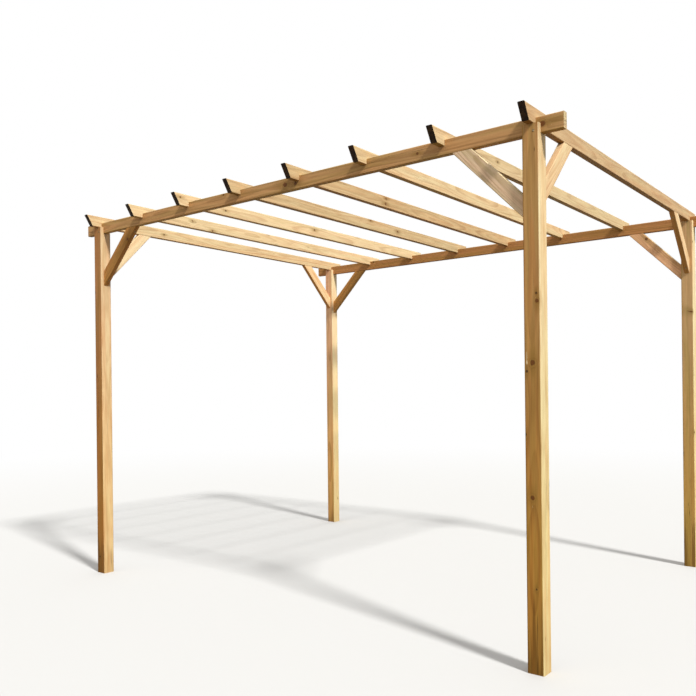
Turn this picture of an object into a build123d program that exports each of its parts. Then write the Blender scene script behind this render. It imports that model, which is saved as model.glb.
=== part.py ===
from build123d import *
import os
from math import sqrt

os.makedirs("parts", exist_ok=True)

# An open garden pergola: four posts, two beams let into their heads, rafters
# housed in the beams, and a pair of knee braces on every post.
# Lengths are in millimetres. +X runs along the beams, +Y from front to back,
# and the origin is on the ground, in the middle of the plan.

# Plan, between the centre lines of the posts
POST_SPAN_X = 3075.0
POST_SPAN_Y = 2405.0

# Posts
POST_SIZE = 75.0

# Beams
BEAM_TOP = 2320.0
BEAM_DEPTH = 70.0
BEAM_THICKNESS = 32.0
BEAM_OVERHANG = 100.0

# Rafters
RAFTER_COUNT = 8
RAFTER_DEPTH = 70.0
RAFTER_THICKNESS = 32.0
RAFTER_OVERHANG = 64.0
RAFTER_UNDERCUT = 43.0
HOUSING_DEPTH = 30.0

# Knee braces
BRACE_WIDTH = 70.0
BRACE_THICKNESS = 32.0
BRACE_REACH = 348.0

# Working room on each side of a slot or housing
JOINT_CLEARANCE = 0.4

# Rounding of the planed edges along the grain
POST_ARRIS = 6.0
BOARD_ARRIS = 4.0

# Places that follow from the sizes above
BEAM_UNDERSIDE = BEAM_TOP - BEAM_DEPTH
RAFTER_UNDERSIDE = BEAM_TOP - HOUSING_DEPTH
POST_HEIGHT = RAFTER_UNDERSIDE
POST_X = POST_SPAN_X / 2
POST_Y = POST_SPAN_Y / 2
BEAM_LENGTH = POST_SPAN_X + POST_SIZE + 2 * BEAM_OVERHANG
RAFTER_PITCH = POST_SPAN_X / (RAFTER_COUNT - 1)
RAFTER_X = [n * RAFTER_PITCH - POST_X for n in range(RAFTER_COUNT)]


def planed(timber, grain, arris):
    """Round the edges of a timber that run along its grain."""
    return fillet(timber.edges().filter_by(grain), arris)


def post():
    """A square post, with a slot across its head that takes the beam."""
    from_foot = (Align.CENTER, Align.CENTER, Align.MIN)
    shaft = planed(Box(POST_SIZE, POST_SIZE, POST_HEIGHT, align=from_foot), Axis.Z, POST_ARRIS)
    slot_width = BEAM_THICKNESS + 2 * JOINT_CLEARANCE
    slot = Box(2 * POST_SIZE, slot_width, BEAM_DEPTH, align=from_foot)
    return shaft - Pos(0, 0, BEAM_UNDERSIDE) * slot


def beam():
    """A beam on edge, square at its ends, with one housing for each rafter."""
    from_top = (Align.CENTER, Align.CENTER, Align.MAX)
    board = planed(Box(BEAM_LENGTH, BEAM_THICKNESS, BEAM_DEPTH, align=from_top), Axis.X, BOARD_ARRIS)
    housing_width = RAFTER_THICKNESS + 2 * JOINT_CLEARANCE
    housing = Box(housing_width, 2 * BEAM_THICKNESS, 2 * HOUSING_DEPTH)
    housings = [Pos(x, 0, 0) * housing for x in RAFTER_X]
    return Pos(0, 0, BEAM_TOP) * (board - housings)


def rafter():
    """A board on edge across both beams, its ends cut back underneath."""
    lower_end = POST_Y + BEAM_THICKNESS / 2 + RAFTER_OVERHANG
    upper_end = lower_end + RAFTER_UNDERCUT
    side = Polyline(
        (-lower_end, 0), (lower_end, 0), (upper_end, RAFTER_DEPTH), (-upper_end, RAFTER_DEPTH), close=True
    )
    board = extrude(Plane.YZ * make_face(side), RAFTER_THICKNESS / 2, both=True)
    return Pos(0, 0, RAFTER_UNDERSIDE) * planed(board, Axis.Y, BOARD_ARRIS)


def brace():
    """A board at 45 degrees, mitred to a post's side and to the underside above it.

    The corner between those two faces is at the origin, and it leans along +X.
    """
    inner_reach = BRACE_REACH - BRACE_WIDTH * sqrt(2)
    side = Polyline((0, -BRACE_REACH), (BRACE_REACH, 0), (inner_reach, 0), (0, -inner_reach), close=True)
    board = extrude(Plane.XZ * make_face(side), BRACE_THICKNESS / 2, both=True)
    grain = Axis((0, 0, 0), (1, 0, 1))
    return planed(board, grain, BOARD_ARRIS)


def pieces():
    """Every timber of the pergola in its place, by name."""
    placed = {}
    to_inner_face = POST_SIZE / 2
    for side, inward_x, turn_x in (("left", 1, 0), ("right", -1, 180)):
        for end, inward_y, turn_y in (("front", 1, 90), ("back", -1, -90)):
            corner = f"{end}_{side}"
            x = -inward_x * POST_X
            y = -inward_y * POST_Y
            under_beam = Pos(x + inward_x * to_inner_face, y, BEAM_UNDERSIDE)
            under_rafter = Pos(x, y + inward_y * to_inner_face, RAFTER_UNDERSIDE)
            placed[f"post_{corner}"] = Pos(x, y, 0) * post()
            placed[f"beam_brace_{corner}"] = under_beam * Rot(0, 0, turn_x) * brace()
            placed[f"rafter_brace_{corner}"] = under_rafter * Rot(0, 0, turn_y) * brace()
    placed["beam_front"] = Pos(0, -POST_Y, 0) * beam()
    placed["beam_back"] = Pos(0, POST_Y, 0) * beam()
    for number, x in enumerate(RAFTER_X, start=1):
        placed[f"rafter_{number}"] = Pos(x, 0, 0) * rafter()
    return placed


for name, piece in pieces().items():
    export_step(piece, f"parts/{name}.step")
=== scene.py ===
import math
import random

import bmesh
import bpy
from bpy.props import FloatProperty, FloatVectorProperty, IntProperty, PointerProperty
from mathutils import Matrix, Vector


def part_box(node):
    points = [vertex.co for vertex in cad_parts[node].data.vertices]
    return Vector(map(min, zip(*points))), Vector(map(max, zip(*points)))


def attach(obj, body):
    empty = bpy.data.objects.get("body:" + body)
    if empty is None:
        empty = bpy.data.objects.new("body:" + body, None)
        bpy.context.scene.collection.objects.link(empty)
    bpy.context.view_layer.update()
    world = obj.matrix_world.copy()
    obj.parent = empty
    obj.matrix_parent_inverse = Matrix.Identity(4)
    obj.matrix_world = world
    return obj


bl_info = {
    "name": "Garden pergola",
    "version": (1, 0, 0),
    "blender": (4, 5, 0),
    "location": "3D View > Sidebar > Pergola",
    "description": "Finishes the timbers of a garden pergola, drives its screws and sets it up for a picture",
    "category": "Object",
}

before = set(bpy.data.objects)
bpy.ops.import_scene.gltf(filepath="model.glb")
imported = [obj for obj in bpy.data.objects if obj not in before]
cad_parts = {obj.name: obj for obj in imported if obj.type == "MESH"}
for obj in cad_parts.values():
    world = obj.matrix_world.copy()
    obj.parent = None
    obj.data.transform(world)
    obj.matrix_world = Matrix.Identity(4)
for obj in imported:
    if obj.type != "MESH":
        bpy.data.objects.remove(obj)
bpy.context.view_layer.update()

FULL_TURN = 2 * math.pi

# Directions: the pergola's own, the way to the sun that has bleached it, and the ways to the key lamp and the
# fill lamp. Sides facing SUNWARD are also painted lighter as painted sunlight, and sides facing away painted
# darker as painted shade
RIGHT = Vector((1, 0, 0))
FRONT = Vector((0, -1, 0))
UP = Vector((0, 0, 1))
SUNWARD = Vector((0.71, -0.31, 0.63))
KEYWARD = Vector((0.699, -0.206, 0.685))
FILLWARD = Vector((-0.6, 0.6, 0.5))

# A branch climbs this steeply as it leaves the middle of the log. A stout one
# starts with this radius, in metres, and thickens by this much to each metre.
BRANCH_LEAN = 0.25
BRANCH_START = 0.003
BRANCH_TAPER = 0.075

# A branch less stout than this died young, and left a small dark knot
LIVE_STOUTNESS = 0.55

# A gap along the grain counts for less than one across it: its square is worth
# this share at a knot, and this share in the stained wood round it
KNOT_SHARE = 0.75
HALO_SHARE = 0.10

# The saw's marks on a cut end, to the metre
SAW_MARKS = 380

# How far off each lamp hangs, in metres, and how wide a very soft one looks
LAMP_DISTANCE = 8
VERY_SOFT = math.radians(90)

# Knots that show on a timber's best side: the way that side faces, then the
# place of each knot on it and the knot's radius, in metres. An empty list is a
# side that was picked for having none.
SHOWN_KNOTS = {
    "post_front_right": (FRONT, (
        ((1.560, -1.24, 1.553), 0.0075),
        ((1.557, -1.24, 1.585), 0.0042),
        ((1.538, -1.24, 1.297), 0.0095),
        ((1.512, -1.24, 1.262), 0.0046),
        ((1.503, -1.24, 0.998), 0.0048),
        ((1.533, -1.24, 0.735), 0.0085),
        ((1.545, -1.24, 0.356), 0.0036),
    )),
    "post_front_left": (RIGHT, ()),
    "post_back_left": (FRONT, ()),
    "beam_front": (FRONT, (
        ((-0.342, -1.2185, 2.311), 0.0050),
        ((0.134, -1.2185, 2.286), 0.0120),
        ((0.209, -1.2185, 2.280), 0.0085),
        ((0.968, -1.2185, 2.285), 0.0060),
        ((1.582, -1.2185, 2.286), 0.0120),
    )),
    "rafter_1": (RIGHT, (((-1.5215, -0.703, 2.322), 0.0050),)),
    "rafter_2": (RIGHT, (((-1.0822, -0.813, 2.338), 0.0050), ((-1.0822, -0.636, 2.300), 0.0060))),
    "rafter_3": (RIGHT, (
        ((-0.643, -1.280, 2.336), 0.0060),
        ((-0.643, -0.921, 2.321), 0.0050),
        ((-0.643, -0.070, 2.334), 0.0070),
    )),
    "rafter_4": (RIGHT, (((-0.2036, 0.006, 2.350), 0.0055), ((-0.2036, 0.331, 2.325), 0.0070))),
    "rafter_5": (RIGHT, (((0.2356, -0.433, 2.345), 0.0055), ((0.2356, -0.437, 2.313), 0.0070))),
    "rafter_6": (RIGHT, ()),
    "rafter_7": (RIGHT, (((1.1142, -0.699, 2.335), 0.0042),)),
    "rafter_8": (RIGHT, ()),
    "beam_brace_front_left": (FRONT, (((-1.241, -1.2185, 2.178), 0.0090),)),
    "beam_brace_front_right": (FRONT, ()),
    "beam_brace_back_left": (FRONT, ()),
    "beam_brace_back_right": (FRONT, (((1.272, 1.1865, 2.208), 0.0090),)),
    "rafter_brace_front_left": (RIGHT, ()),
    "rafter_brace_front_right": (RIGHT, ()),
    "rafter_brace_back_left": (RIGHT, ()),
}

# Drops of dried resin: the middle of each, half its length along the grain and half its width, in metres
RESIN_DROPS = {
    "post_front_right": (((1.5125, -1.24, 1.299), 0.011, 0.0032), ((1.5125, -1.24, 1.325), 0.022, 0.0013)),
}

# Timbers whose colour differs from the rest of their kind: shares of its red, green and blue. Most are a
# timber's own tone; some also carry painted light and shade: beam_back and rafter_8 are darkened as painted
# shade, post_back_left and rafter_brace_back_left lightened as painted light
TONES_AND_PAINTED_LIGHT = {
    "post_front_left": (0.90, 0.79, 0.78),
    "post_back_left": (1.69, 1.88, 3.60),
    "post_back_right": (1.22, 1.50, 2.30),
    "beam_back": (0.90, 0.76, 0.65),
    "rafter_2": (1.22, 1.30, 1.50),
    "rafter_3": (1.25, 1.35, 1.60),
    "rafter_4": (0.87, 0.85, 0.82),
    "rafter_5": (0.83, 0.77, 0.71),
    "rafter_8": (0.80, 0.74, 0.71),
    "beam_brace_front_left": (0.84, 0.80, 0.54),
    "beam_brace_front_right": (1.20, 1.85, 3.00),
    "beam_brace_back_left": (0.95, 1.00, 0.68),
    "beam_brace_back_right": (1.30, 1.58, 2.10),
    "rafter_brace_front_left": (1.20, 1.60, 2.40),
    "rafter_brace_back_left": (1.30, 1.28, 1.15),
}


def paint(red, green, blue):
    """A colour as a paint chart gives it, from 0 to 255, in the linear values that shaders use."""
    return tuple(((level / 255 + 0.055) / 1.055) ** 2.4 for level in (red, green, blue))


class PergolaWood(bpy.types.PropertyGroup):
    """The planed, pressure-treated softwood that every timber is cut from."""

    post_colour: FloatVectorProperty(
        name="Posts", description="Average colour of the posts",
        subtype="COLOR", min=0, max=1, default=paint(187, 139, 79),
    )
    beam_colour: FloatVectorProperty(
        name="Beams", description="Average colour of the beams",
        subtype="COLOR", min=0, max=1, default=paint(191, 145, 93),
    )
    rafter_colour: FloatVectorProperty(
        name="Rafters", description="Average colour of the rafters",
        subtype="COLOR", min=0, max=1, default=paint(188, 144, 98),
    )
    brace_colour: FloatVectorProperty(
        name="Braces", description="Average colour of the knee braces",
        subtype="COLOR", min=0, max=1, default=paint(208, 148, 97),
    )
    # Painted sunlight as well as bleaching: the sides facing SUNWARD are mixed towards this pale colour
    bleached_and_sunlit_colour: FloatVectorProperty(
        name="Bleached", description="Colour of wood that the sun has bleached",
        subtype="COLOR", min=0, max=1, default=paint(234, 218, 172),
    )
    # How much bleaching and painted sunlight the sides facing SUNWARD get
    bleach_and_sunlight: FloatProperty(
        name="Bleach", description="How far the sides towards the sun have bleached",
        subtype="FACTOR", min=0, max=1, default=0.8,
    )
    # Also laid over the sides facing away from SUNWARD as painted shade
    olive_and_shade_tint: FloatVectorProperty(
        name="Olive tint", description="Tint of the streaks where the preservative shows green",
        subtype="COLOR", min=0, max=1, default=paint(222, 232, 190),
    )
    blush_tint: FloatVectorProperty(
        name="Blush tint", description="Tint of the pinker streaks",
        subtype="COLOR", min=0, max=1, default=paint(255, 226, 204),
    )
    knot_colour: FloatVectorProperty(
        name="Knots", description="Colour of the knots",
        subtype="COLOR", min=0, max=1, default=paint(98, 50, 20),
    )
    bark_colour: FloatVectorProperty(
        name="Knot rims", description="Colour of the bark round a knot, and of the drying cracks",
        subtype="COLOR", min=0, max=1, default=paint(58, 36, 20),
    )
    resin_colour: FloatVectorProperty(
        name="Resin", description="Colour of the dried resin beside the knots",
        subtype="COLOR", min=0, max=1, default=paint(246, 222, 170),
    )
    end_colour: FloatVectorProperty(
        name="Stained ends", description="Colour of cut ends that have drunk in the preservative",
        subtype="COLOR", min=0, max=1, default=paint(30, 18, 7),
    )
    # Painted shade and painted bounce light: multiplied over the sides facing away from SUNWARD, and low on
    # each post
    painted_shade_and_bounce_tint: FloatVectorProperty(
        name="Kept tint", description="Tint where the preservative has kept best, low or out of the sun",
        subtype="COLOR", min=0, max=1, default=paint(240, 228, 160),
    )
    damp_colour: FloatVectorProperty(
        name="Damp foot", description="Colour that the ground's damp leaves at the foot of a post",
        subtype="COLOR", min=0, max=1, default=paint(96, 64, 20),
    )
    damp_height: FloatProperty(
        name="Damp height", description="How high the ground's damp has climbed",
        subtype="DISTANCE", unit="LENGTH", min=0, max=1, default=0.24,
    )
    ring_pitch: FloatProperty(
        name="Ring pitch", description="Width of one year's growth",
        subtype="DISTANCE", unit="LENGTH", min=0.001, max=0.02, default=0.0052,
    )
    ring_contrast: FloatProperty(
        name="Ring contrast", description="How dark the late growth is",
        subtype="FACTOR", min=0, max=1, default=0.55,
    )
    sway: FloatProperty(
        name="Sway", description="How far the middle of the log strays along a timber",
        subtype="DISTANCE", unit="LENGTH", min=0, max=0.1, default=0.035,
    )
    whorl_pitch: FloatProperty(
        name="Whorl pitch", description="Length of log between two whorls of branches",
        subtype="DISTANCE", unit="LENGTH", min=0.1, max=2, default=0.42,
    )
    whorl_count: IntProperty(
        name="Branches in a whorl", description="Branches round the log at each whorl",
        min=2, max=9, default=4,
    )
    relief: FloatProperty(
        name="Relief", description="Height of the raised grain",
        subtype="DISTANCE", unit="LENGTH", min=0, max=0.005, default=0.0008,
    )


class PergolaScrews(bpy.types.PropertyGroup):
    """The screws that hold the post heads and the braces."""

    head_diameter: FloatProperty(
        name="Head diameter", description="Across the screw's flat head",
        subtype="DISTANCE", unit="LENGTH", min=0.004, max=0.03, default=0.008,
    )
    drive_diameter: FloatProperty(
        name="Drive diameter", description="Across the six-lobed socket in the head",
        subtype="DISTANCE", unit="LENGTH", min=0.002, max=0.01, default=0.004,
    )
    proud: FloatProperty(
        name="Proud", description="How far the head stands off the wood",
        subtype="DISTANCE", unit="LENGTH", min=0.0005, max=0.01, default=0.0012,
    )
    bruise: FloatProperty(
        name="Bruise", description="Width of the crushed wood round the head",
        subtype="DISTANCE", unit="LENGTH", min=0, max=0.005, default=0.0016,
    )
    zinc_colour: FloatVectorProperty(
        name="Zinc", description="Colour of the zinc plating",
        subtype="COLOR", min=0, max=1, default=paint(152, 138, 104),
    )
    bruise_colour: FloatVectorProperty(
        name="Crushed wood", description="Colour of the crushed wood round the head",
        subtype="COLOR", min=0, max=1, default=paint(84, 54, 30),
    )


class PergolaStage(bpy.types.PropertyGroup):
    """The floor, the lamps and the camera."""

    camera_place: FloatVectorProperty(
        name="Camera", description="Where the camera stands",
        subtype="TRANSLATION", unit="LENGTH", default=(2.900, -4.218, 1.188),
    )
    camera_turn: FloatProperty(
        name="Turn", description="Camera's turn to the left of straight ahead",
        subtype="ANGLE", unit="ROTATION", default=math.radians(38.14),
    )
    camera_lean: FloatProperty(
        name="Lean", description="Camera's lean about its own line of sight",
        subtype="ANGLE", unit="ROTATION", default=math.radians(0.62),
    )
    lens: FloatProperty(
        name="Lens", description="Focal length in millimetres on a 36 mm sensor",
        subtype="DISTANCE_CAMERA", min=10, max=200, default=39.64,
    )
    rise: FloatProperty(
        name="Rise", description="Upward shift of the lens, as a share of the picture",
        min=-0.5, max=0.5, default=0.0617,
    )
    floor_colour: FloatVectorProperty(
        name="Floor", description="Colour of the floor",
        subtype="COLOR", min=0, max=1, default=paint(204, 203, 200),
    )
    floor_bounce: FloatProperty(
        name="Floor bounce", description="Share of light that the floor throws back up",
        subtype="FACTOR", min=0, max=1, default=0.16,
    )
    floor_radius: FloatProperty(
        name="Floor radius", description="Distance out to the edge of the floor",
        subtype="DISTANCE", unit="LENGTH", min=5, max=200, default=60,
    )
    key_strength: FloatProperty(
        name="Key lamp", description="Strength of the soft key lamp on the right",
        min=0, max=20, default=4.1,
    )
    key_softness: FloatProperty(
        name="Key softness", description="Width of the key lamp, as seen from the pergola",
        subtype="ANGLE", unit="ROTATION", min=0, max=math.pi, default=math.radians(7),
    )
    fill_strength: FloatProperty(
        name="Fill lamp", description="Strength of the weak, very soft lamp behind on the left",
        min=0, max=20, default=0.5,
    )
    front_strength: FloatProperty(
        name="Front lamp", description="Strength of the weak, very soft lamp in front",
        min=0, max=20, default=0.5,
    )
    sky_strength: FloatProperty(
        name="Sky", description="Strength of the even light from all round",
        min=0, max=5, default=0.58,
    )


class Number:
    """A number that runs between shader nodes, so that shader maths reads as Python."""

    def __init__(self, sheet, socket):
        self.sheet = sheet
        self.socket = socket

    def maths(self, operation, *others):
        return self.sheet.number("ShaderNodeMath", {"operation": operation}, dict(enumerate(others)))

    def __add__(self, other):
        return self.maths("ADD", self, other)

    def __sub__(self, other):
        return self.maths("SUBTRACT", self, other)

    def __mul__(self, other):
        return self.maths("MULTIPLY", self, other)

    def __truediv__(self, other):
        return self.maths("DIVIDE", self, other)

    def __radd__(self, other):
        return self.maths("ADD", other, self)

    def __rsub__(self, other):
        return self.maths("SUBTRACT", other, self)

    def __rmul__(self, other):
        return self.maths("MULTIPLY", other, self)

    def __abs__(self):
        return self.maths("ABSOLUTE", self)

    def root(self):
        return self.maths("SQRT", self)

    def part(self):
        """What the number has after its decimal point."""
        return self.maths("FRACT", self)

    def whole(self):
        """The whole number below."""
        return self.maths("FLOOR", self)

    def least(self, other):
        """The smaller of two numbers."""
        return self.maths("MINIMUM", self, other)

    def most(self, other):
        """The larger of two numbers."""
        return self.maths("MAXIMUM", self, other)

    def angle_to(self, other):
        """The angle of the point (other, self) round the origin."""
        return self.maths("ARCTAN2", self, other)

    def above(self, low, high):
        """0 below low, 1 above high, and an even curve between them."""
        settings = {"interpolation_type": "SMOOTHSTEP"}
        return self.sheet.number(
            "ShaderNodeMapRange", settings, {"Value": self, "From Min": low, "From Max": high}
        )

    def below(self, low, high):
        """1 below low, 0 above high, and an even curve between them."""
        return 1 - self.above(low, high)


class Sheet:
    """The nodes of one material or world."""

    def __init__(self, tree):
        self.tree = tree
        self.tree.nodes.clear()

    def add(self, kind, settings=None, sockets=None):
        """A node of any kind: its settings first, then a value or a link for each socket."""
        node = self.tree.nodes.new(kind)
        for name, value in (settings or {}).items():
            setattr(node, name, value)
        for name, value in (sockets or {}).items():
            socket = node.inputs[name]
            if isinstance(value, Number):
                value = value.socket
            if isinstance(value, bpy.types.Node):
                value = value.outputs[0]
            if isinstance(value, bpy.types.NodeSocket):
                self.tree.links.new(value, socket)
            elif socket.type == "RGBA":
                socket.default_value = (*value[:3], 1.0)
            else:
                socket.default_value = value
        return node

    def number(self, kind, settings=None, sockets=None, output=0):
        """The same, where what is wanted is the number that the node gives."""
        return Number(self, self.add(kind, settings, sockets).outputs[output])

    def vector_maths(self, operation, first, second):
        return self.add("ShaderNodeVectorMath", {"operation": operation}, {0: first, 1: second})

    def dot(self, first, second):
        settings = {"operation": "DOT_PRODUCT"}
        return self.number("ShaderNodeVectorMath", settings, {0: first, 1: second}, "Value")

    def vector(self, x, y, z):
        return self.add("ShaderNodeCombineXYZ", None, {"X": x, "Y": y, "Z": z})

    def noise(self, place, detail=2.0, roughness=0.5):
        """Noise from 0 to 1, about 0.5, with one wave to each unit of place."""
        sockets = {"Vector": place, "Scale": 1.0, "Detail": detail, "Roughness": roughness}
        return self.number("ShaderNodeTexNoise", {"noise_dimensions": "3D"}, sockets)

    def grit(self, waves):
        """Fine noise that is alike in every direction, with this many waves to the metre."""
        place = self.add("ShaderNodeTexCoord").outputs["Object"]
        return self.noise(self.vector_maths("MULTIPLY", place, (waves, waves, waves)), detail=3.0)

    def drift(self, place):
        """A slow wander about zero along a line."""
        sockets = {"W": place, "Scale": 1.0, "Detail": 1.0}
        return self.number("ShaderNodeTexNoise", {"noise_dimensions": "1D"}, sockets) - 0.5

    def chance(self, number):
        """One random number from 0 to 1 for each whole number."""
        return self.number("ShaderNodeTexWhiteNoise", {"noise_dimensions": "1D"}, {"W": number})

    def blend(self, share, first, second, way="MIX"):
        """Two colours in one, by share."""
        settings = {"data_type": "RGBA", "blend_type": way}
        return self.add("ShaderNodeMix", settings, {0: share, 6: first, 7: second}).outputs[2]

    def surface(self, sockets):
        """The finished surface, from the sockets of its shader."""
        shader = self.add("ShaderNodeBsdfPrincipled", None, sockets)
        self.add("ShaderNodeOutputMaterial", None, {"Surface": shader})


def blank_material(name):
    """A new material, with nothing in it yet."""
    material = bpy.data.materials.new(name)
    material.use_nodes = True
    return material


def toned(colour, shares):
    """A colour with each of its channels multiplied by a share."""
    return tuple(min(1.0, channel * share) for channel, share in zip(colour, shares))


class Timber:
    """One length of timber, and the log that it was cut from.

    Its grain runs along the log. The pith, the middle of the log, lies beside the timber's own
    middle, and outward points from the one to the other. Each kind of timber gives pith_reach, the
    least and the most from its middle to the pith, and the strength of what age has done to it:
    tinting in green and pink streaks, bleach_and_sunlight (bleaching together with painted sunlight on the
    sides towards the sun), end_stain and cracks.
    """

    # From its middle to an edge that runs along the grain
    half_diagonal = 0.0385

    # Whether it stands on the ground, whose damp climbs it
    stands = False

    def __init__(self, name, grain, wood, chance, off_centre=Vector()):
        low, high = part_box(name)
        self.name = name
        self.middle = (low + high) / 2 + off_centre
        self.grain = grain.normalized()
        self.length = sum(abs(share) * side for share, side in zip(self.grain, high - low))
        self.reach = chance.uniform(*self.pith_reach)
        facing, knots = SHOWN_KNOTS.get(name, (None, ()))
        # A side with shown knots has the pith roughly behind it, so that they come out square
        turn = chance.uniform(-0.35, 0.35) if facing else chance.uniform(0, FULL_TURN)
        straight_out = facing or self.grain.orthogonal().normalized()
        self.outward = Matrix.Rotation(turn, 3, self.grain) @ straight_out
        self.round = self.grain.cross(self.outward)
        self.seed = chance.uniform(5, 95)
        self.blush = chance.uniform(0, 1)
        shade = chance.uniform(0.92, 1.06)
        # The timber's own tone, or a listed share that for some timbers also holds painted light or shade
        self.cast = TONES_AND_PAINTED_LIGHT.get(name, (shade, shade, shade))
        self.best_side = (0, 0)
        if facing:
            face = facing * min(high - low) / 2
            edge = facing.cross(self.grain) * self.half_diagonal
            self.best_side = sorted(self.round_log(face + edge * way)[1] for way in (-1, 1))
        self.branches = [self.shown_branch(Vector(place), radius) for place, radius in knots]
        self.branches += self.hidden_branches(wood, chance)

    def round_log(self, offset):
        """Distance from the pith, and bearing round it, of a place given from the timber's middle."""
        out = offset.dot(self.outward) + self.reach
        side = offset.dot(self.round)
        return math.hypot(out, side), math.atan2(side, out)

    def shown_branch(self, place, radius):
        """The branch whose knot shows at a place.

        Every branch is given as where it starts along the log, its bearing and its stoutness.
        """
        offset = place - self.middle
        distance, bearing = self.round_log(offset)
        start = offset.dot(self.grain) - BRANCH_LEAN * distance
        return start, bearing, radius / knot_growth(distance)

    def hidden_branches(self, wood, chance):
        """Branches in whorls along the rest of the log, where they pass through this timber's other sides."""
        spare_turn = 0.15
        clear_length = 0.1
        widest = math.asin(min(1.0, self.half_diagonal / self.reach)) + spare_turn
        first_edge, last_edge = self.best_side
        shown = [start for start, _, _ in self.branches]
        found = []
        whorl = -self.length / 2 - chance.uniform(0, wood.whorl_pitch)
        while whorl < self.length / 2:
            first = chance.uniform(0, FULL_TURN)
            for number in range(wood.whorl_count):
                bearing = first + (number + chance.uniform(-0.25, 0.25)) * FULL_TURN / wood.whorl_count
                bearing = math.remainder(bearing, FULL_TURN)
                start = whorl + chance.uniform(-0.02, 0.02)
                stoutness = chance.uniform(0.3, 0.95)
                clear = all(abs(start - other) > clear_length for other in shown)
                if abs(bearing) < widest and clear and not first_edge < bearing < last_edge:
                    found.append((start, bearing, stoutness))
            whorl += wood.whorl_pitch * chance.uniform(0.8, 1.2)
        return found


class Post(Timber):
    """A square post: thicker than the boards, and the most weathered."""

    half_diagonal = 0.053
    pith_reach = (0.055, 0.085)
    tinting = 0.6
    # Share of bleaching and painted sunlight on the sides towards the sun
    bleach_and_sunlight = 1.3
    end_stain = 0.3
    cracks = 0.8
    stands = True


class Beam(Timber):
    """A beam, whose cut ends are still pale."""

    pith_reach = (0.05, 0.09)
    tinting = 0.6
    bleach_and_sunlight = 1.0
    end_stain = 0.06
    cracks = 0.6


class Rafter(Timber):
    """A rafter, whose cut ends are almost black with preservative."""

    pith_reach = (0.045, 0.09)
    tinting = 0.5
    bleach_and_sunlight = 0.85
    end_stain = 0.97
    cracks = 0.4


class Brace(Timber):
    """A knee brace, whose box has its middle on the brace's under edge."""

    half_width = 0.035
    pith_reach = (0.045, 0.08)
    tinting = 0.5
    bleach_and_sunlight = 1.0
    end_stain = 0.2
    cracks = 0.3


def knot_growth(distance):
    """Radius of a stout branch, by its distance out from the pith: it works on numbers and on nodes."""
    return BRANCH_START + BRANCH_TAPER * distance


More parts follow.
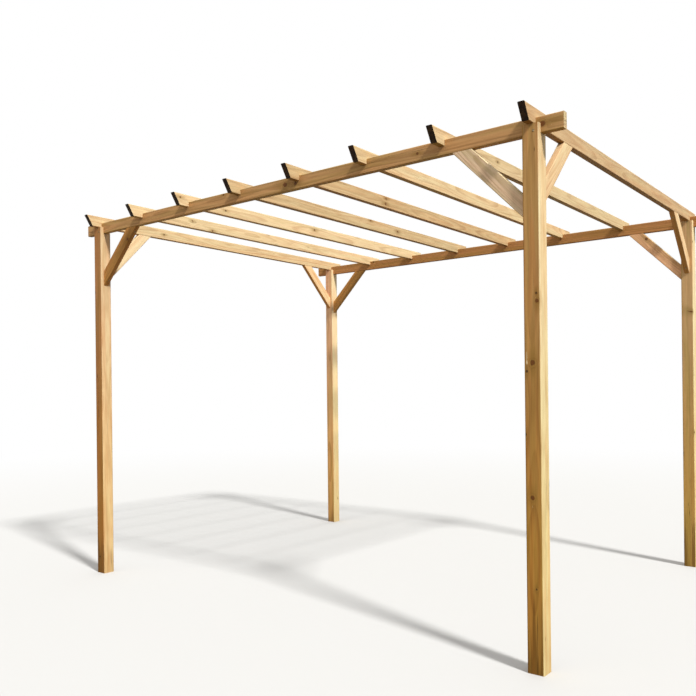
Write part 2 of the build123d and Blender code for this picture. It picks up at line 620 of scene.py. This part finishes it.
class Softwood(Sheet):
    """The wood of one timber: yearly rings about the pith, bent round the knots, on every face and end.

    What it finds is a number over the surface, and for most things 0 is none of it and 1 is all of it.
    Each layer then takes the colour so far and gives it back with more laid over it.
    """

    def __init__(self, tree, timber, colour, wood):
        super().__init__(tree)
        self.timber = timber
        self.wood = wood
        self.plain = toned(colour, timber.cast)
        self.dark = toned(self.plain, (0.58, 0.48, 0.36))

        lie = self.add("ShaderNodeTexCoord")
        self.place = lie.outputs["Object"]
        self.normal = lie.outputs["Normal"]
        offset = self.vector_maths("SUBTRACT", self.place, timber.middle)
        self.along = self.dot(offset, timber.grain)
        self.out = self.dot(offset, timber.outward) + timber.reach
        self.side = self.dot(offset, timber.round)
        self.far = self.along + timber.seed

        self.broad = self.streaks(length=1.1, width=0.034)
        self.band = self.streaks(length=0.42, width=0.0095)
        self.fibre = self.streaks(length=0.09, width=0.0016, roughness=0.65)
        self.waver = self.streaks(length=1.0, width=0.06) - 0.5
        self.facing = self.dot(self.normal, SUNWARD)
        self.sunny = self.facing.above(0.2, 0.8)
        self.find_knots()
        self.find_rings()
        self.find_cracks()
        self.find_ends()

    def streaks(self, length, width, detail=2.0, roughness=0.5):
        """Noise drawn out along the grain, in waves of this length and width in metres."""
        place = self.vector(self.far * (1 / length), self.out * (1 / width), self.side * (1 / width))
        return self.noise(place, detail, roughness)

    def height(self):
        """Height above the ground."""
        return self.dot(self.place, UP)

    def nearest_knot(self):
        """Distances from the nearest knot, in knot radii.

        They are from a live knot, from a dead one, which is small and dark, and from either, drawn out
        along the grain.
        """
        distance = (self.out * self.out + self.side * self.side).root()
        level = self.along - distance * BRANCH_LEAN
        # Each gap is a squared length, and a square metre until a knot is found nearer
        live_gap = dead_gap = long_gap = self.along * 0 + 1
        for start, bearing, stoutness in self.timber.branches:
            rise = (level - start) * (1 / stoutness)
            swing = self.out * (math.sin(bearing) / stoutness) - self.side * (math.cos(bearing) / stoutness)
            rise = rise * rise
            swing = swing * swing
            gap = rise * KNOT_SHARE + swing
            if stoutness < LIVE_STOUTNESS:
                dead_gap = dead_gap.least(gap)
            else:
                live_gap = live_gap.least(gap)
            long_gap = long_gap.least(rise * HALO_SHARE + swing)
        girth = knot_growth(distance)
        return live_gap.root() / girth, dead_gap.root() / girth, long_gap.root() / girth

    def find_knots(self):
        """Knots, live and dead, with bark round the live ones and dried resin beside them."""
        live, dead, self.near_long = self.nearest_knot()
        ragged = 0.65 + self.streaks(length=0.02, width=0.008) * 0.7
        near_live = live * ragged
        near_dead = dead * ragged
        self.near = near_live.least(near_dead)
        self.core = near_live.below(0.8, 1.1)
        self.dead = near_dead.below(0.9, 1.25)
        self.rim = near_live.above(0.72, 0.92) * near_live.below(0.95, 1.25) * self.band.above(0.4, 0.6)
        beads = self.streaks(length=0.03, width=0.004).above(0.70, 0.76)
        self.resin = self.near_long.below(1.2, 2.2) * self.near.above(1.1, 1.3) * beads
        for place, half_length, half_width in RESIN_DROPS.get(self.timber.name, ()):
            self.resin = self.resin.most(self.resin_drop(Vector(place), half_length, half_width))

    def resin_drop(self, place, half_length, half_width):
        """A drop of resin, drawn out along the grain."""
        timber = self.timber
        offset = place - timber.middle
        middle = (
            offset.dot(timber.grain),
            offset.dot(timber.outward) + timber.reach,
            offset.dot(timber.round),
        )
        spans = zip((self.along, self.out, self.side), middle, (half_length, half_width * 2, half_width))
        up, through, across = ((value - centre) * (1 / half) for value, centre, half in spans)
        return (up * up + through * through + across * across).below(0.4, 1.0)

    def find_rings(self):
        """The dark late growth of every year, about a pith that wanders along the log."""
        out = self.out + self.drift(self.far) * self.wood.sway
        side = self.side + self.drift(self.far + 40) * self.wood.sway
        self.distance = (out * out + side * side).root()
        self.bearing = side.angle_to(out)
        swirl = self.near.below(0.5, 3.4)
        bulge = swirl * swirl * 0.009
        rings = (self.distance + bulge) * (1 / self.wood.ring_pitch) + self.waver * 1.4
        year = rings.part()
        harshness = self.chance(rings.whole())
        self.late = year.above(0.25, 0.86) * year.below(0.9, 1.0) * (0.5 + harshness * 0.5)

    def find_cracks(self):
        """Drying cracks along the grain, with more of them near the ends."""
        half_length = self.timber.length / 2
        dry_length = 0.25
        split = abs(self.streaks(length=0.9, width=0.02, detail=1.0) - 0.5).below(0.0015, 0.009)
        dry = abs(self.along).above(half_length - dry_length, half_length) * 0.12
        where = (self.streaks(length=0.8, width=0.10, detail=1.0) + dry).above(0.57, 0.64)
        self.cracks = split * where * self.timber.cracks

    def find_ends(self):
        """Cut ends, and the cracks that run out from the pith across them."""
        self.sawn = abs(self.dot(self.normal, self.timber.grain)).above(0.55, 0.68)
        spoke = self.noise(self.vector(self.bearing * 9, self.distance * 12, 0.0))
        self.shakes = abs(spoke - 0.5).below(0.004, 0.03) * self.sawn

    def sound(self):
        """The first layer: new wood, with its late growth and its darker and paler streaks."""
        pale = toned(self.plain, (1.16, 1.16, 1.16))
        body = self.blend(self.late * self.wood.ring_contrast, pale, self.dark)
        body = self.blend(self.broad.above(0.44, 0.66) * 0.34, body, self.dark)
        body = self.blend(self.band.above(0.46, 0.66) * 0.36, body, self.dark)
        return self.blend(self.band.below(0.30, 0.46) * 0.30, body, pale)

    def weathered(self, body):
        """Sides towards the sun are bleached and also painted lighter, as painted sunlight; the green and
        pink streaks show best on the others, the green weaker where that painted sunlight falls.
        """
        timber = self.timber
        wood = self.wood
        patch = self.streaks(length=0.16, width=0.03)
        tint = self.streaks(length=0.5, width=0.026)
        # The pale colour of bleaching and painted sunlight
        bleached = toned(wood.bleached_and_sunlit_colour, (min(1.0, share) for share in timber.cast))
        bleach_and_sunlight_amount = 0.9 + (self.broad - 0.5) * 0.8 + (patch - 0.5) * 0.9 - self.late * 0.3
        green = (1 - self.sunny * 0.7) * (timber.tinting * (1.0 - timber.blush * 0.6))
        pink = timber.tinting * (0.15 + timber.blush * 0.6)
        # Painted sunlight with bleaching: sides facing SUNWARD are mixed towards the pale colour
        body = self.blend(self.sunny * bleach_and_sunlight_amount * (wood.bleach_and_sunlight * timber.bleach_and_sunlight), body, bleached)
        body = self.blend(tint.above(0.46, 0.62) * green, body, wood.olive_and_shade_tint, "MULTIPLY")
        body = self.blend(tint.below(0.38, 0.54) * pink, body, wood.blush_tint, "MULTIPLY")
        return self.blend(self.fibre.above(0.38, 0.72) * 0.30, body, self.dark)

    def painted_shade_and_bounce(self, body):
        """Painted shade and painted bounce light: the sides away from the sun are darkened and tinted olive,
        and a post is tinted yellower low down.
        """
        # Painted shade on the sides facing away from SUNWARD, and painted bounce light low on a post
        shaded = kept = self.facing.below(-0.55, 0.15)
        if self.timber.stands:
            kept = 1 - (1 - shaded) * (1 - self.height().below(0.3, 2.1) * (1 - self.sunny * 0.6))
        body = self.blend(shaded * 0.3, body, self.wood.olive_and_shade_tint, "MULTIPLY")
        return self.blend(kept * 0.9, body, self.wood.painted_shade_and_bounce_tint, "MULTIPLY")

    def knotted(self, body):
        """Knots lie in a murky halo, and resin has run from some."""
        wood = self.wood
        murky = toned(self.plain, (0.52, 0.52, 0.30))
        heart = (self.near * 5.0 + self.waver * 2).part()
        body = self.blend(self.near_long.below(0.3, 3.2) * 0.65, body, murky)
        body = self.blend(self.core * (0.7 + heart * 0.2), body, wood.knot_colour)
        body = self.blend(self.rim * 0.5, body, wood.bark_colour)
        body = self.blend(self.dead * 0.8, body, wood.bark_colour)
        return self.blend(self.resin * 0.8, body, wood.resin_colour)

    def cracked(self, body):
        """Dirt has darkened the drying cracks."""
        return self.blend(self.cracks * 0.85, body, self.wood.bark_colour)

    def end_stained(self, body):
        """Cut ends have drunk in the preservative, unevenly."""
        soak = self.timber.end_stain + (self.broad - 0.5) * 0.5 + (self.band - 0.5) * 0.3
        body = self.blend(self.sawn * soak, body, self.wood.end_colour)
        return self.blend(self.shakes * 0.7, body, self.wood.bark_colour)

    def damp(self, body):
        """The ground's damp has climbed a post, less on the sides that the sun dries."""
        tide = self.height() + (self.broad - 0.5) * 1.2 + (self.band - 0.5) * 0.7
        wet = tide.below(0.0, self.wood.damp_height) * (1 - self.sunny * 0.95)
        return self.blend(wet * 0.75, body, self.wood.damp_colour)

    def finish(self, body):
        """The whole surface, with its gloss and its raised grain."""
        saw_marks = (self.out * SAW_MARKS + self.waver * 3).part() * self.sawn
        dents = self.cracks * 2.4 + self.rim * 0.5 + self.dead * 0.6 + self.shakes * 1.5
        raised = self.late * 0.5 + self.fibre * 0.6 + self.core * 0.35 + self.resin + saw_marks * 0.4 - dents
        relief = {"Strength": 0.75, "Distance": self.wood.relief, "Height": raised}
        self.surface({
            "Base Color": body,
            "Roughness": 0.72 - self.late * 0.14 - self.core * 0.12 - self.resin * 0.3 + self.cracks * 0.2,
            "Specular IOR Level": 0.12,
            "Normal": self.add("ShaderNodeBump", None, relief),
        })


def timber_material(timber, colour, wood):
    """Softwood for one timber, from its first layer to its last."""
    material = blank_material(f"{timber.name}_wood")
    sheet = Softwood(material.node_tree, timber, colour, wood)
    body = sheet.sound()
    body = sheet.weathered(body)
    # Painted shade and painted bounce light
    body = sheet.painted_shade_and_bounce(body)
    body = sheet.knotted(body)
    body = sheet.cracked(body)
    body = sheet.end_stained(body)
    if timber.stands:
        body = sheet.damp(body)
    sheet.finish(body)
    return material


def finish_timber(timber, colour, wood):
    """Give a CAD timber its wood."""
    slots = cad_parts[timber.name].data.materials
    slots.clear()
    slots.append(timber_material(timber, colour, wood))


def nodes_named(start):
    """The frame's nodes whose names begin so, in order."""
    return sorted(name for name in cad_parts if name.startswith(start))


class PERGOLA_OT_posts(bpy.types.Operator):
    """Finish the four posts"""

    bl_idname = "pergola.posts"
    bl_label = "Posts"

    def execute(self, context):
        wood = context.scene.pergola_wood
        chance = random.Random(11)
        for name in nodes_named("post_"):
            finish_timber(Post(name, UP, wood, chance), wood.post_colour, wood)
        return {"FINISHED"}


class PERGOLA_OT_beams(bpy.types.Operator):
    """Finish the front and back beams"""

    bl_idname = "pergola.beams"
    bl_label = "Beams"

    def execute(self, context):
        wood = context.scene.pergola_wood
        chance = random.Random(23)
        for name in nodes_named("beam_"):
            if "brace" not in name:
                finish_timber(Beam(name, RIGHT, wood, chance), wood.beam_colour, wood)
        return {"FINISHED"}


class PERGOLA_OT_rafters(bpy.types.Operator):
    """Finish the rafters"""

    bl_idname = "pergola.rafters"
    bl_label = "Rafters"

    def execute(self, context):
        wood = context.scene.pergola_wood
        chance = random.Random(37)
        for name in nodes_named("rafter_"):
            if "brace" not in name:
                finish_timber(Rafter(name, FRONT, wood, chance), wood.rafter_colour, wood)
        return {"FINISHED"}


def leaning_braces():
    """The name of each knee brace, the level way that it leans, and the way of its grain."""
    for start, level in (("beam_brace_", RIGHT), ("rafter_brace_", FRONT)):
        for name in nodes_named(start):
            low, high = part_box(name)
            lean = -level if (low + high).dot(level) > 0 else level
            yield name, lean, (lean + UP).normalized()


class PERGOLA_OT_braces(bpy.types.Operator):
    """Finish the knee braces, whose grain climbs at 45 degrees"""

    bl_idname = "pergola.braces"
    bl_label = "Knee braces"

    def execute(self, context):
        wood = context.scene.pergola_wood
        chance = random.Random(53)
        for name, lean, grain in leaning_braces():
            to_middle = (UP - lean).normalized() * Brace.half_width
            finish_timber(Brace(name, grain, wood, chance, to_middle), wood.brace_colour, wood)
        return {"FINISHED"}


def post_head_places():
    """The screw through the outer tongue of each post head: its place, and the way it faces."""
    aside = 0.014
    above_slot = 0.009
    beam_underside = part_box("beam_front")[0].z
    for name in nodes_named("post_"):
        low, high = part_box(name)
        middle = (low + high) / 2
        out = FRONT if middle.y < 0 else -FRONT
        face = low.y if middle.y < 0 else high.y
        yield Vector((middle.x + aside, face, beam_underside + above_slot)), out


def brace_places():
    """A screw square through the under edge of each brace, near its foot and near its head."""
    inset = 0.045
    for name, lean, grain in leaning_braces():
        low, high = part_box(name)
        middle = (low + high) / 2
        half_edge = (high.z - low.z) / math.sqrt(2)
        for way in (-1, 1):
            yield middle + grain * way * (half_edge - inset), (lean - UP).normalized()


def screw_head(mesh, screws, place, out):
    """Add a flat screw head with a six-lobed socket to a mesh, in a ring of crushed wood."""
    steps = 36
    lobes = 6
    lobe_depth = 0.1
    wooden_bands = 3
    half = screws.head_diameter / 2
    drive = screws.drive_diameter / 2
    proud = screws.proud
    # Each circle's radius, its height over the wood, and 1 if it follows the socket's lobes
    profile = (
        (half + screws.bruise, -0.0003, 0),
        (half + screws.bruise * 0.5, proud * 0.35, 0),
        (half + screws.bruise * 0.15, proud * 0.3, 0),
        (half, proud * 0.1, 0),
        (half * 0.99, proud * 0.75, 0),
        (half * 0.93, proud, 0),
        (drive * 1.08, proud, 1),
        (drive, proud * 0.92, 1),
        (drive * 0.92, proud * 0.05, 1),
    )
    seat = Matrix.Translation(place) @ out.to_track_quat("Z", "Y").to_matrix().to_4x4()
    circles = []
    for reach, rise, lobed in profile:
        circle = []
        for step in range(steps):
            angle = step / steps * FULL_TURN
            wide = reach * (1 - lobed * lobe_depth * (1 - math.cos(lobes * angle)))
            point = Vector((wide * math.cos(angle), wide * math.sin(angle), rise))
            circle.append(mesh.verts.new(seat @ point))
        circles.append(circle)
    for number, (outer, inner) in enumerate(zip(circles, circles[1:])):
        for step in range(steps):
            after = (step + 1) % steps
            face = mesh.faces.new((outer[step], outer[after], inner[after], inner[step]))
            face.material_index = 1 if number < wooden_bands else 0
    mesh.faces.new(circles[-1])


def zinc_plate(screws):
    """Yellowed zinc plate, a little scuffed."""
    material = blank_material("zinc_plate")
    sheet = Sheet(material.node_tree)
    scuff = sheet.grit(waves=900)
    dull = toned(screws.zinc_colour, (0.5, 0.5, 0.5))
    sheet.surface({
        "Base Color": sheet.blend(scuff.above(0.4, 0.7), screws.zinc_colour, dull),
        "Metallic": 0.85,
        "Roughness": 0.36 + scuff * 0.2,
    })
    return material


def crushed_wood(screws):
    """Dark torn fibres pressed in by the screw head."""
    material = blank_material("crushed_wood")
    sheet = Sheet(material.node_tree)
    torn = sheet.grit(waves=1400)
    light = toned(screws.bruise_colour, (2.2, 2.2, 2.2))
    bump = sheet.add("ShaderNodeBump", None, {"Strength": 0.8, "Distance": 0.0004, "Height": torn})
    sheet.surface({
        "Base Color": sheet.blend(torn.above(0.4, 0.7), screws.bruise_colour, light),
        "Roughness": 0.85,
        "Normal": bump,
    })
    return material


class PERGOLA_OT_screws(bpy.types.Operator):
    """Drive the screws through the post heads and the braces"""

    bl_idname = "pergola.screws"
    bl_label = "Screws"

    def execute(self, context):
        screws = context.scene.pergola_screws
        finishes = (zinc_plate(screws), crushed_wood(screws))
        for name, places in (("post_head_screws", post_head_places()), ("brace_screws", brace_places())):
            mesh = bmesh.new()
            for place, out in places:
                screw_head(mesh, screws, place, out)
            data = bpy.data.meshes.new(name)
            mesh.to_mesh(data)
            mesh.free()
            for finish in finishes:
                data.materials.append(finish)
            piece = bpy.data.objects.new(name, data)
            context.scene.collection.objects.link(piece)
            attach(piece, "root")
        return {"FINISHED"}


def lay_floor(scene, stage):
    """A pale round floor that fades to white far out, and takes the pergola's shadow."""
    mesh = bmesh.new()
    bmesh.ops.create_circle(mesh, cap_ends=True, segments=96, radius=stage.floor_radius)
    data = bpy.data.meshes.new("floor")
    mesh.to_mesh(data)
    mesh.free()
    floor = bpy.data.objects.new("floor", data)
    scene.collection.objects.link(floor)

    fade_start = 3.0
    fade_end = 12.0
    material = blank_material("pale_floor")
    sheet = Sheet(material.node_tree)
    place = sheet.add("ShaderNodeTexCoord").outputs["Object"]
    spread = sheet.number("ShaderNodeVectorMath", {"operation": "LENGTH"}, {0: place}, "Value")
    grey = (stage.floor_bounce, stage.floor_bounce, stage.floor_bounce)
    bouncing = sheet.add("ShaderNodeBsdfDiffuse", None, {"Color": grey})
    matt = sheet.add("ShaderNodeBsdfDiffuse", None, {"Color": stage.floor_colour})
    white = sheet.add("ShaderNodeEmission", None, {"Color": (1, 1, 1), "Strength": 1.0})
    far = sheet.add("ShaderNodeMixShader", None, {0: spread.above(fade_start, fade_end), 1: matt, 2: white})
    faded = sheet.add("ShaderNodeMixShader", None, {0: shown_rays(sheet), 1: bouncing, 2: far})
    sheet.add("ShaderNodeOutputMaterial", None, {"Surface": faded})
    data.materials.append(material)


def shown_rays(sheet):
    """1 where the camera sees a thing, straight or in a reflection, and 0 where it only lights others."""
    path = sheet.add("ShaderNodeLightPath")
    seen = Number(sheet, path.outputs["Is Camera Ray"])
    glossy = Number(sheet, path.outputs["Is Glossy Ray"])
    through = Number(sheet, path.outputs["Is Transmission Ray"])
    return 1 - (1 - seen) * (1 - glossy) * (1 - through)


def light_sky(scene, stage):
    """An even sky, white to the camera and softer on the wood."""
    world = bpy.data.worlds.new("studio")
    world.use_nodes = True
    sheet = Sheet(world.node_tree)
    soft = sheet.add("ShaderNodeBackground", None, {"Color": (1, 1, 1), "Strength": stage.sky_strength})
    white = sheet.add("ShaderNodeBackground", None, {"Color": (1, 1, 1), "Strength": 1.0})
    mixed = sheet.add("ShaderNodeMixShader", None, {0: shown_rays(sheet), 1: soft, 2: white})
    sheet.add("ShaderNodeOutputWorld", None, {"Surface": mixed})
    scene.world = world


def hang_lamp(scene, name, strength, softness, towards):
    """A soft lamp, far off, that lights every timber alike."""
    data = bpy.data.lights.new(name, "SUN")
    data.energy = strength
    data.angle = softness
    lamp = bpy.data.objects.new(name, data)
    lamp.location = towards * LAMP_DISTANCE
    lamp.rotation_euler = towards.to_track_quat("Z", "Y").to_euler()
    scene.collection.objects.link(lamp)


def place_camera(scene, stage):
    """A camera that looks straight ahead, turned to the left, with its lens raised."""
    data = bpy.data.cameras.new("camera")
    data.sensor_width = 36.0
    data.lens = stage.lens
    data.shift_y = stage.rise
    camera = bpy.data.objects.new("camera", data)
    camera.location = stage.camera_place
    camera.rotation_euler = (math.radians(90), stage.camera_lean, stage.camera_turn)
    scene.collection.objects.link(camera)
    scene.camera = camera


class PERGOLA_OT_stage(bpy.types.Operator):
    """Lay the floor, hang the lamps and place the camera"""

    bl_idname = "pergola.stage"
    bl_label = "Stage"

    def execute(self, context):
        scene = context.scene
        stage = scene.pergola_stage
        lay_floor(scene, stage)
        light_sky(scene, stage)
        hang_lamp(scene, "key", stage.key_strength, stage.key_softness, KEYWARD)
        hang_lamp(scene, "front", stage.front_strength, VERY_SOFT, FRONT)
        hang_lamp(scene, "fill", stage.fill_strength, VERY_SOFT, FILLWARD)
        place_camera(scene, stage)
        scene.view_settings.view_transform = "Standard"
        return {"FINISHED"}


STEPS = (
    PERGOLA_OT_posts,
    PERGOLA_OT_beams,
    PERGOLA_OT_rafters,
    PERGOLA_OT_braces,
    PERGOLA_OT_screws,
    PERGOLA_OT_stage,
)


class PERGOLA_PT_sidebar(bpy.types.Panel):
    """The steps that finish the pergola, with the sizes and colours they use"""

    bl_idname = "PERGOLA_PT_sidebar"
    bl_label = "Pergola"
    bl_space_type = "VIEW_3D"
    bl_region_type = "UI"
    bl_category = "Pergola"

    def draw(self, context):
        for step in STEPS:
            self.layout.operator(step.bl_idname)
        for group in (context.scene.pergola_wood, context.scene.pergola_screws, context.scene.pergola_stage):
            box = self.layout.box()
            for name in group.__annotations__:
                box.prop(group, name)


CLASSES = (PergolaWood, PergolaScrews, PergolaStage, *STEPS, PERGOLA_PT_sidebar)


def register():
    for cls in CLASSES:
        bpy.utils.register_class(cls)
    bpy.types.Scene.pergola_wood = PointerProperty(type=PergolaWood)
    bpy.types.Scene.pergola_screws = PointerProperty(type=PergolaScrews)
    bpy.types.Scene.pergola_stage = PointerProperty(type=PergolaStage)


def unregister():
    del bpy.types.Scene.pergola_stage
    del bpy.types.Scene.pergola_screws
    del bpy.types.Scene.pergola_wood
    for cls in reversed(CLASSES):
        bpy.utils.unregister_class(cls)


def main():
    """Build the whole picture."""
    register()
    bpy.ops.pergola.posts()
    bpy.ops.pergola.beams()
    bpy.ops.pergola.rafters()
    bpy.ops.pergola.braces()
    bpy.ops.pergola.screws()
    bpy.ops.pergola.stage()


if __name__ == "__main__":
    main()
